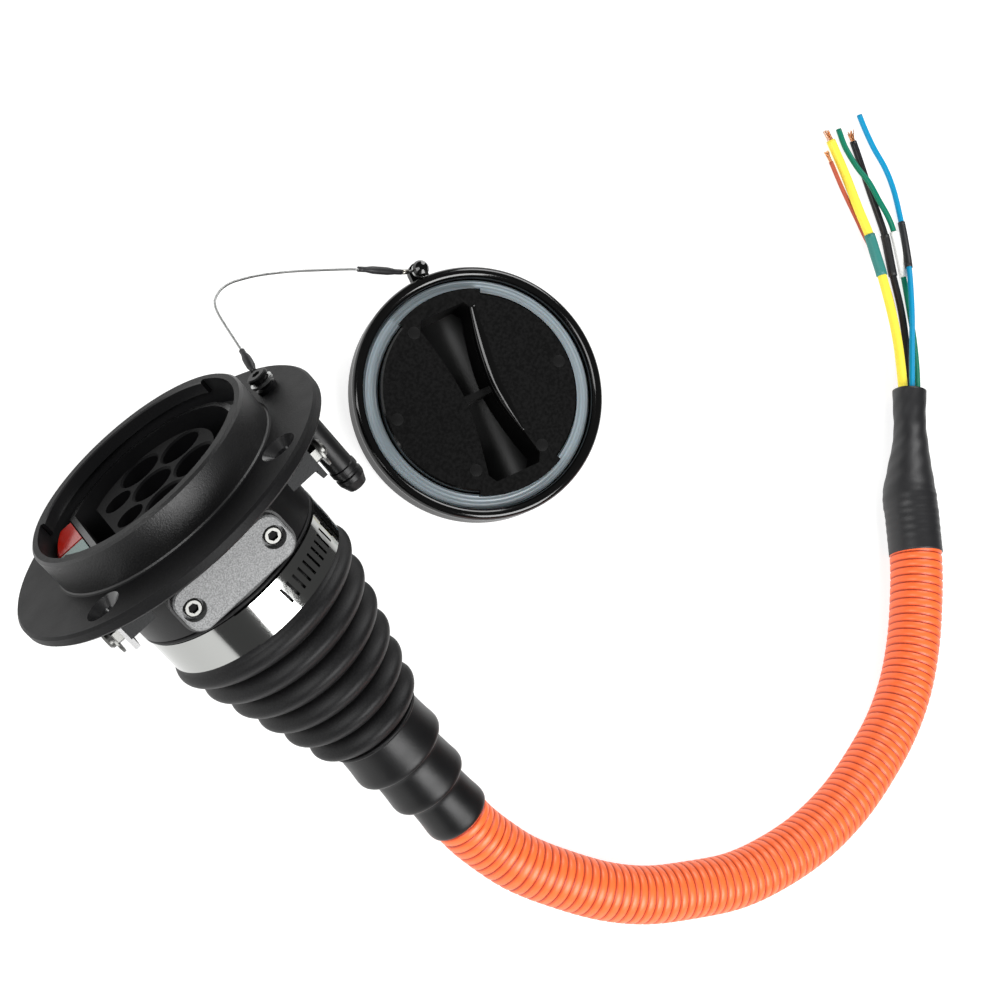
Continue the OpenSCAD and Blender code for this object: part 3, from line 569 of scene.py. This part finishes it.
def place_cap(points_mm):
    """Points in the cap's own axes, in millimetres, turned and moved to the row frame in metres."""
    return (np.asarray(points_mm, float) @ CAP_TURN.T + CAP_AT) * MM


def in_cap(at):
    """Points of the row frame, in metres, back in the cap's own axes in millimetres."""
    return (at / MM - CAP_AT) @ CAP_TURN


def on_cap_side(at, facing):
    """Outside the wall's middle and below the rim."""
    p = in_cap(at)
    return (np.hypot(p[:, 0], p[:, 1]) > SIDE_R) & (p[:, 2] < SIDE_TOP)


def in_hollow(at, facing):
    """In the box round the hollow, below the disc and not facing down."""
    p = in_cap(at)
    inside = (np.abs(p[:, 0]) < HOLLOW_X) & (np.abs(p[:, 1]) < HOLLOW_Y) & (p[:, 2] < HOLLOW_TOP)
    return inside & (facing @ CAP_TURN[:, 2] > -0.3)


def on_disc(at, facing):
    """At the disc's height and facing up out of the mouth."""
    return (in_cap(at)[:, 2] > DISC_FROM) & (facing @ CAP_TURN[:, 2] > 0.95)


paint_where(cad["cap_shell"], cap_disc, on_disc)
paint_where(cad["cap_shell"], cap_side, on_cap_side)
paint_where(cad["cap_shell"], cap_hollow, in_hollow)

# %% [markdown]
# ## The cap's rounded rim, hollow and ejector marks
#
# A bevel wide enough for the cap's round rim would eat its thin wall, so the rim is a lathe of its own: an
# arc turned about the cap's axis. One edge of the hollow is a tube sunk into the disc, thicker in its
# middle, whose top is the rounded edge. The seal has fine ribs, a cosine across its face. The mould's
# ejector pins left five dull discs on the inner face.

# %% Rim, hollow edge, seal ribs and ejector marks
RIM_Z, RIM_H, RIM_OVER = -1.5, 2.0, 0.2
WAIST, FLARE, HOLLOW_LEN = 5.9, 4.95, 30.6
LIP_FROM, LIP_TO = 0.93, -0.6
SEAL_IN, SEAL_OUT, SEAL_Z, SEAL_RIB, SEAL_WAVE = 35.8, 39.6, -2.92, 0.1, 4.6
MARKS = [(-12.5, 27.6), (30.7, -1.5), (-31, 2.8), (12, -25.6), (-13.4, -24.1)]
MARK_PROFILE = [(0, DISC_TOP + 0.03), (2.1, DISC_TOP + 0.03), (2.3, DISC_TOP - 0.05)]

arc = np.radians(np.arange(-35, 216, 10))
rim_r = CAP_R - CAP_WALL / 2 + (CAP_WALL / 2 + RIM_OVER) * np.cos(arc)
rim = lathe("cap_rim", np.stack([rim_r, RIM_Z + RIM_H * np.sin(arc)], 1), place_cap, "cap")

t = np.linspace(LIP_FROM, LIP_TO, 80)
lip_r = np.interp(t, [LIP_TO, -0.2, 0.5, LIP_FROM], [0.5, 2.6, 2.8, 1.4])
edge = WAIST + FLARE * np.abs(t) ** 1.5
lip_path = np.stack([edge + 0.45 * lip_r, HOLLOW_LEN * t, DISC_TOP - 0.85 * lip_r], 1)
lip = tube("hollow_lip", place_cap(lip_path), lip_r * MM, "cap", 48)

seal_r = np.linspace(SEAL_IN, SEAL_OUT, 60)
seal_z = SEAL_Z + SEAL_RIB * np.cos(SEAL_WAVE * (seal_r - SEAL_IN))
seal_ribs = lathe("seal_ribs", np.stack([seal_r, seal_z], 1), place_cap, "cap", 200)
paint(seal_ribs, seal_pale)
for ob in (rim, lip):
    paint(ob, cap_gloss)
for k, (x, y) in enumerate(MARKS):
    disc = lathe(f"ejector_mark_{k}", MARK_PROFILE, lambda p: place_cap(p + (x, y, 0)), "cap", 40)
    paint(disc, cap_mark)
print("hollow edge", round(whole_length(lip_path), 1), "mm long, ejector marks", len(MARKS))

# %% [markdown]
# ## Bellows boot
#
# The boot is one rubber moulding: a beaded cuff under the clamp's band, six convolutions that narrow
# towards the rear, and three stepped cuffs that hold the conduit. It could be sculpted or built from rings,
# but it is round about the inlet's axis, so one profile of radius and station is turned. The convolutions
# follow a cosine without its sign, which gives round crests and tight valleys.

# %% The boot's profile
FIRST_R, LAST_R, DEPTH = 33.8, 20.4, 5.2
CUFF_R, BEAD_R, CUFF_S, BAND_END_S = 31.75, 32.95, 28.8, 43.0
BEAD = [(1.2, 0), (0.4, 0.1), (0, 0.5), (0, 1.0), (0.3, 1.35), (BEAD_R - CUFF_R, 1.6)]
FIRST_T, LAST_T = -0.34, RIDGES - 0.52
NECK_R, NECK_ROUND, NECK_BACK = 15.9, 0.7, 0.9
STEP_LAP, STEP_FLARE, STEP_FILLET, STEP_ROUND = 2.0, 0.75, 0.9, (1.7, 1.7, 0.8)
BORE_R, BORE_DEPTH = 10.2, 6.0


def bellows_radius(t):
    """Radius t ridges behind the first crest: the crests' taper, less a valley of the cosine."""
    crest = FIRST_R + (LAST_R - FIRST_R) * t / (RIDGES - 1)
    return crest - DEPTH * (1 - np.abs(np.cos(np.pi * t)) ** 0.85)


def stepped_cuff(i, r):
    """Radius and station along one cuff: a fillet at its start, a slow flare and a rounded end."""
    start = RIDGE_END + STEP_LEN * i - (STEP_LAP if i else 0.2)
    end = RIDGE_END + STEP_LEN * (i + 1) - STEP_LAP
    u = np.linspace(0, 1, 28)
    flare = r - STEP_FLARE + STEP_FLARE * ramp(u, 0, 0.8) ** 2
    fillet = (STEP_FILLET if i else 0) * (1 - ramp(u, 0, 0.16)) ** 2
    round_off = STEP_ROUND[i] * (1 - np.sqrt(1 - ramp(u, 0.88, 0.12) ** 2))
    return zip(flare + fillet - round_off, start + (end - start) * u)


profile = [(BEAD_R - inset, CUFF_S + along) for inset, along in BEAD]
profile += [(CUFF_R, BAND_END_S + 0.4)]
ridge_t = np.arange(FIRST_T, LAST_T, 0.02)
profile += zip(bellows_radius(ridge_t), FIRST_S + PITCH * ridge_t)
neck = np.radians(np.arange(0, 181, 20))
profile += zip(NECK_R + NECK_ROUND * np.sin(neck), RIDGE_END - NECK_BACK - NECK_ROUND * np.cos(neck))
for i, r in enumerate(STEP_R):
    profile += stepped_cuff(i, r)
profile += [(BORE_R, BOOT_END_S - STEP_LAP), (BORE_R, BOOT_END_S - BORE_DEPTH)]
print("boot profile", len(profile), "points")


# %% The boot
def on_cuffs(at, facing):
    """Behind the last convolution."""
    return in_inlet(at)[:, 2] < -RIDGE_END + 0.3


boot = lathe("boot_bellows", [(r, -s) for r, s in profile], lay, "inlet", 160)
paint(boot, boot_rubber)
paint_where(boot, cuff_rubber, on_cuffs)
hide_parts("boot")
print("boot", len(boot.data.polygons), "faces")

# %% [markdown]
# ## Conduit
#
# The conduit is a ribbed plastic tube that lies on the table in one wide curve. Its route repeats the CAD
# part's points, in millimetres. A displaced tube would need very many faces for clean ribs, so its rings
# are set only where a rib's shape turns: a groove, its two flanks and a flat top. The groove's depth is
# also stored at each vertex, for the finish to paint shade into the grooves.

# %% Route and ribs
CONDUIT = [
    (0, 144, -41.2), (0, 152, -43.4), (-1, 162, -45.2), (-3, 175, -45.9), (-8, 190, -45.9),
    (-15, 206, -45.9), (-24, 220, -45.9), (-36, 233, -45.9), (-50, 246, -45.9), (-66, 256, -45.9),
    (-84, 264, -45.9), (-103, 269, -45.9), (-122, 271, -45.9), (-141, 271, -45.9), (-159, 268, -45.9),
    (-176, 262, -45.9), (-191, 254.5, -45.9), (-202, 248, -45.9), (-211.4, 241.2, -45.9),
    (-218.8, 235.4, -45.9), (-223.6, 231.6, -45.9),
]
RIB_PITCH, RIB_DEPTH, CONDUIT_R, CONDUIT_SIDES = 3.2, 0.6, 10.0, 40
RIB_PHASE = np.array([0, 0.08, 0.2, 0.74, 0.86, 0.93])
GROOVE_AT_PHASE = [1.0, 0.35, 0.0, 0.0, 0.35, 1.0]
line = spline(np.array(CONDUIT) * MM, 2 * MM)
rib_count = int(whole_length(line) / (RIB_PITCH * MM))
where = ((np.arange(rib_count)[:, None] + RIB_PHASE) * RIB_PITCH * MM).ravel()
groove = np.tile(GROOVE_AT_PHASE, rib_count)
conduit_path = at_length(line, where)
conduit_r = (CONDUIT_R - RIB_DEPTH * groove) * MM
conduit = tube("conduit_ribbed", conduit_path, conduit_r, "inlet", CONDUIT_SIDES)
values(conduit, "groove", np.repeat(groove, CONDUIT_SIDES))
paint(conduit, conduit_orange)
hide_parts("conduit")
print("conduit", rib_count, "ribs,", len(conduit.data.polygons), "faces")

# %% [markdown]
# ## Shrink sleeve
#
# A black sleeve was shrunk over the conduit's end and the wires. Cloth tools could shrink it, but a tube
# whose radius follows what lies under it is plainer and repeats exactly: the conduit's ribs show through
# faintly at one end, then it tapers to the bundle of wires with a few shallow folds.

# %% The sleeve, and the conduit as a cord
SHRINK = [
    (-206.2, 245.3, -45.9), (-211.4, 241.2, -45.9), (-218.8, 235.4, -45.9), (-224.5, 230.7, -45.9),
    (-229.9, 227.6, -46.1), (-236.2, 224.3, -46.5), (-242.7, 221.3, -47), (-250.1, 217.1, -47.5),
    (-257.2, 212.6, -47.7), (-262.6, 209.4, -47.7),
]
SHRINK_R = (10.4, 10.4, 10.45, 10.6, 9.6, 8.4, 7.25, 6.45, 6.65, 6.95)
SHRINK_SIDES, SMOOTH_POINTS = 56, 13
RIBS_FROM, RIBS_TO, RIBS_FADE, RIB_TRACE = 3.0, 24.0, 3.0, 0.07
FOLD, FOLD_FROM, FOLD_FADE = 0.14, 8.0, 14.0
SINK, TAIL_SINK, TAIL_FROM, TAIL_FADE = 0.1, 0.12, 20.0, 10.0
shrink_path = spline(np.array(SHRINK) * MM, 0.7 * MM)
s = arc_length(shrink_path) / MM
theta = full_turn(SHRINK_SIDES)
base = np.interp(s, [s[nearest(shrink_path, p)] for p in SHRINK], SHRINK_R)
window = np.hanning(SMOOTH_POINTS)
base = np.convolve(np.pad(base, SMOOTH_POINTS // 2, "edge"), window / window.sum(), "valid")
on_ribs = ramp(s, RIBS_FROM, RIBS_FADE) * (1 - ramp(s, RIBS_TO, RIBS_FADE))
base += RIB_TRACE * np.cos(2 * math.pi * s / RIB_PITCH) * on_ribs
base -= SINK + TAIL_SINK * ramp(s, TAIL_FROM, TAIL_FADE)
folds = FOLD * np.sin(3 * theta + 0.3 * s[:, None]) * np.sin(2 * theta + 0.5 * s[:, None])
shrink_r = base[:, None] + folds * ramp(s, FOLD_FROM, FOLD_FADE)[:, None]
shrink = tube("shrink_sleeve", shrink_path, shrink_r * MM, "inlet", SHRINK_SIDES)
paint(shrink, shrink_black)
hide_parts("heat_shrink")
print("conduit", round(whole_length(conduit_path), 4), "m, sleeve", round(s[-1], 1), "mm")

# %% [markdown]
# ## Loose wires
#
# Five wires come out of the sleeve and fan out on the table. Each has a radius, the two route points that
# its marker sleeve lies between, and a route in millimetres. The routes repeat the CAD part's points.

# %% Wire routes
WIRES = {
    "yellow": (1.9, (5, 7), [
        (-256.3, 209.1, -46.8), (-260.7, 206.3, -47), (-268.8, 200.9, -47.8), (-278.4, 194.3, -49.2),
        (-288.1, 185.8, -50.3), (-297.9, 175, -50.7), (-303, 168.4, -50.7), (-308.6, 161.3, -50.9),
        (-315.2, 151.6, -51.7), (-324.9, 139.6, -53.6), (-332.6, 126.9, -54),
    ]),
    "black": (1.45, (5, 7), [
        (-260.9, 212.4, -50.4), (-265.4, 209.7, -50.6), (-276.2, 204.5, -52.6), (-287.4, 197.4, -53.9),
        (-296.5, 189.5, -54.3), (-304.7, 180.4, -54.2), (-310.8, 174.4, -54.2), (-317, 168.1, -54.2),
        (-322.8, 160.5, -54.4), (-328.6, 152.2, -54.4), (-335.9, 142.3, -54.4), (-341, 135.1, -54.4),
    ]),
    "brown": (0.9, None, [
        (-259.3, 210.3, -51.6), (-263.8, 207.5, -51.9), (-274.2, 202, -53.6), (-286.5, 194.2, -54.7),
        (-294.7, 186.5, -54.7), (-301.3, 178.1, -54.7), (-305.9, 169.8, -54.7), (-309.6, 161.5, -54.7),
        (-313.1, 154.7, -54.7), (-319, 143, -54.7), (-325.3, 132.1, -54.7),
    ]),
    "green": (1.15, (5, 7), [
        (-261.9, 214.7, -47.6), (-266.5, 212, -47.9), (-276.1, 207.6, -50), (-286.8, 201.6, -52.2),
        (-296.6, 194.8, -53.9), (-308.2, 184.7, -54.4), (-315.2, 177.6, -54.2), (-320.9, 170.1, -53.2),
        (-323.1, 164.1, -51.7), (-325.2, 156.7, -50.9), (-328.3, 149, -50.9), (-331, 141.6, -52.4),
        (-335.7, 133.6, -54.2), (-340.5, 127.2, -54.7),
    ]),
    "blue": (1.15, (6, 8), [
        (-257.6, 211.3, -44.8), (-262.2, 208.7, -45), (-271.5, 204.4, -46.4), (-281.4, 199.9, -48),
        (-292.4, 194.6, -49.4), (-302.5, 188.5, -50.1), (-311.3, 183.2, -51.3), (-320, 177.5, -53),
        (-327.9, 171.2, -54.1), (-337.6, 161.6, -54.7), (-343.1, 153.1, -54.7), (-346.6, 144.2, -54.7),
        (-350.4, 136.8, -54.7), (-353.9, 131.1, -54.7),
    ]),
}
print("wires:", ", ".join(WIRES))

# %% [markdown]
# ## Stripped ends
#
# Three wires end in bare copper. A hair system could make the strands, but fourteen thin tubes are enough
# for a frayed end. They start on a spiral across the wire's end, and each bends off sideways as a parabola
# of its own. The bends are random from a fixed seed, so each run gives the same strands.

# %% Frayed copper
UP = np.array([0, 0, 1.0])
STRANDS, STRAND_R, STRAND_POINTS, STRAND_SIDES = 14, 0.19, 8, 6
SPIRAL_TURN, INNER_STRANDS, INNER_SHARE, OUTER_SHARE = 2.4, 6, 0.3, 0.56
ROOT, BEND_LEN = -0.5, 5.0
rng = np.random.default_rng(7)


def frayed(name, tip, ahead, r):
    """Fine strands from a wire's tip: straight on, plus a bend that grows with the distance squared."""
    ahead = ahead / np.linalg.norm(ahead)
    left = np.cross(ahead, UP)
    one = grid_faces(STRAND_POINTS, STRAND_SIDES)
    cap = np.arange(STRAND_SIDES) + (STRAND_POINTS - 1) * STRAND_SIDES
    verts, faces = [], []
    for k in range(STRANDS):
        spread = 0 if k == 0 else r * (INNER_SHARE if k < INNER_STRANDS else OUTER_SHARE)
        turn = k * SPIRAL_TURN
        start = tip + (left * math.cos(turn) + UP * math.sin(turn)) * spread * MM
        bend = left * rng.uniform(-0.32, 0.32) + UP * rng.uniform(-0.03, 0.2)
        u = np.linspace(ROOT, rng.uniform(3.2, 4.8), STRAND_POINTS)[:, None] * MM
        strand = start + ahead * u + bend * u**2 / (BEND_LEN * MM)
        first = k * STRAND_POINTS * STRAND_SIDES
        verts.append(rings(strand, STRAND_R * MM, STRAND_SIDES).reshape(-1, 3))
        faces += [*(one + first), cap + first]
    return mesh(name, np.vstack(verts), faces, "inlet")


print("a frayed end has", STRANDS, "strands of", 2 * STRAND_R, "mm")

# %% [markdown]
# ## Wires, marker sleeves and copper
#
# Each wire is a tube along its route, kept above the table. Its marker is a slightly wider tube on a
# stretch of the same route, and the white one is squeezed flat.

# %% Build the wires
WIRE_SIDES, MARKER_SIDES, MARKER_WALL = 20, 24, 0.35
SQUEEZED = {"green": 0.4}
STRIPPED = ("yellow", "black", "brown")
for colour, (r, marked, points) in WIRES.items():
    path = spline(np.array(points) * MM, 1.5 * MM)
    path[:, 2] = np.maximum(path[:, 2], FLOOR + r * MM)
    wire = tube("loose_wire_" + colour, path, r * MM, "inlet", WIRE_SIDES)
    paint(wire, wire_look[colour])
    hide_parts("wire_" + colour)
    if marked:
        first, last = (nearest(path, points[i]) for i in marked)
        part = path[first : last + 1]
        flat = SQUEEZED.get(colour, 0) * np.cos(full_turn(MARKER_SIDES)) ** 2
        marker_r = np.tile((r + MARKER_WALL + flat) * MM, (len(part), 1))
        sleeve = tube("marker_" + colour, part, marker_r, "inlet", MARKER_SIDES)
        paint(sleeve, marker_look[colour])
        if colour == "yellow":
            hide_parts("wire_markers")
    if colour in STRIPPED:
        bare = frayed("copper_" + colour, path[-1], path[-1] - path[-4], r)
        paint(bare, copper)
        if colour == "yellow":
            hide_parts("copper_ends")
    print("wire", colour, round(whole_length(path), 4))

# %% [markdown]
# ## Tether
#
# A thin steel rope ties the cap to the flange. It has an eye at each end, held by a crimp under a shrink
# sleeve. The eyes are CAD pieces. The rope is a tube along the CAD part's route, in millimetres, and each
# sleeve is a tube on a stretch of it, thicker in its middle where the crimp lies under it.

# %% Rope, sleeves and crimp
TETHER = [
    (-46.6, -0.7, 9.4), (-48.2, -1, 6.4), (-50, -2.4, 3.4), (-52.5, -5, 0.8), (-55.5, -9, -2),
    (-60.5, -16, -7),
    (-64.5, -21, -11), (-67.6, -23.7, -13.4), (-70.5, -24.7, -15), (-75, -24.9, -17), (-80, -23.8, -19),
    (-85, -21.6, -21), (-90.5, -18.7, -23), (-97, -14.5, -25), (-104.5, -9, -27), (-115.3, -0.4, -30),
    (-124.1, 7.1, -32), (-130.5, 13.4, -33.6), (-136.8, 19.6, -35.3), (-141.35, 23, -36.57),
]
ROPE_R, SLEEVE_R, CRIMP_R, SLEEVE_SIDES = 0.45, 0.95, 0.85, 20
SLEEVES = {(2, 4): 0.55, (16, 18): 0.4}
rope_path = spline(np.array(TETHER) * MM, 1.5 * MM)
rope = tube("tether_rope", rope_path, ROPE_R * MM, "inlet", 12)
paint(rope, rope_steel)
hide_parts("tether_wire")
for (first, last), swell in SLEEVES.items():
    start, end = nearest(rope_path, TETHER[first]), nearest(rope_path, TETHER[last])
    part = rope_path[start : end + 1]
    u = np.linspace(0, 1, len(part))
    sleeve_r = SLEEVE_R + swell * np.exp(-(((u - 0.5) / 0.27) ** 8))
    sleeve = tube(f"tether_sleeve_{first}", part, sleeve_r * MM, "inlet", SLEEVE_SIDES)
    paint(sleeve, shrink_black)
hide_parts("tether_sleeves")
crimp = tube("tether_crimp", rope_path[end : end + 3], CRIMP_R * MM, "inlet", SLEEVE_SIDES)
paint(crimp, silver_pin)
print("tether", round(whole_length(rope_path), 4))

# %% [markdown]
# ## Table and light
#
# The inlet was photographed on pure white. A white table under lamps alone would show grey shadows, so
# this one also glows a little, which fades them and lights the black pieces from below. Three soft square
# lamps give the highlights, and the world behind them is nearly dark, so bright metal has dark stripes.

# %% Table, world and lamps
WHITE = (1.0, 1.0, 1.0, 1.0)
TABLE_HALF, TABLE_GLOW, WORLD_GLOW = 4.0, 0.82, 0.1
corners = TABLE_HALF * np.array([(-1, -1), (1, -1), (1, 1), (-1, 1)])
sheet = bpy.data.meshes.new("table")
sheet.from_pydata([(x, y, FLOOR) for x, y in corners], [], [(0, 1, 2, 3)])
table = bpy.data.objects.new("table", sheet)
bpy.context.scene.collection.objects.link(table)
glow = dict(Emission_Color=WHITE, Emission_Strength=TABLE_GLOW)
paint(table, finish("glowing white acrylic sheet", "#a2a2a1", 0.7, shine=0.1, **glow))

world = bpy.data.worlds.new("studio")
world.use_nodes = True
background = world.node_tree.nodes["Background"]
background.inputs["Color"].default_value = WHITE
background.inputs["Strength"].default_value = WORLD_GLOW
bpy.context.scene.world = world


def soft_light(name, place, aim, size, power):
    """A square lamp of a given width in metres and power in watts, turned to face a point."""
    data = bpy.data.lights.new(name, "AREA")
    data.size = size
    data.energy = power
    ob = bpy.data.objects.new(name, data)
    ob.location = place
    ob.rotation_euler = (Vector(aim) - Vector(place)).to_track_quat("-Z", "Y").to_euler()
    bpy.context.scene.collection.objects.link(ob)


soft_light("key softbox", (0.38, 0.95, 0.98), (-0.08, 0.1, -0.05), 0.8, 23.0)
soft_light("left softbox", (0.95, -0.75, 1.0), (-0.1, 0.1, -0.05), 0.9, 16.0)
soft_light("far softbox", (-1.25, -0.35, 0.9), (-0.12, 0.12, -0.05), 0.8, 14.0)
print("lamps:", len(bpy.data.lights))

# %% [markdown]
# ## Camera
#
# The camera was placed by matching the flange's outline, the cap and the conduit to the photograph. Its
# place and the directions that run right and down in the picture give its matrix. Down is made square to
# right first, because a camera's axes must not shear.

# %% The camera
CAM_AT, LENS_MM, SENSOR_MM = (0.26436, -0.06672, 0.60723), 79.2, 36
right = np.array([-0.50258, 0.72894, 0.46483])
down = np.array([0.72069, 0.65022, -0.24044])
right /= np.linalg.norm(right)
down -= right * (down @ right)
down /= np.linalg.norm(down)
turn = np.stack([right, -down, -np.cross(right, down)], 1)
cam_data = bpy.data.cameras.new("camera")
cam_data.lens = LENS_MM
cam_data.sensor_width = SENSOR_MM
cam_data.clip_start, cam_data.clip_end = 0.01, 20
cam = bpy.data.objects.new("camera", cam_data)
cam.matrix_world = Matrix.Translation(CAM_AT) @ Matrix(turn.tolist()).to_4x4()
bpy.context.scene.collection.objects.link(cam)
bpy.context.scene.camera = cam
bpy.context.scene.view_settings.view_transform = "Standard"
print("camera at", [round(v, 4) for v in cam.matrix_world.translation])
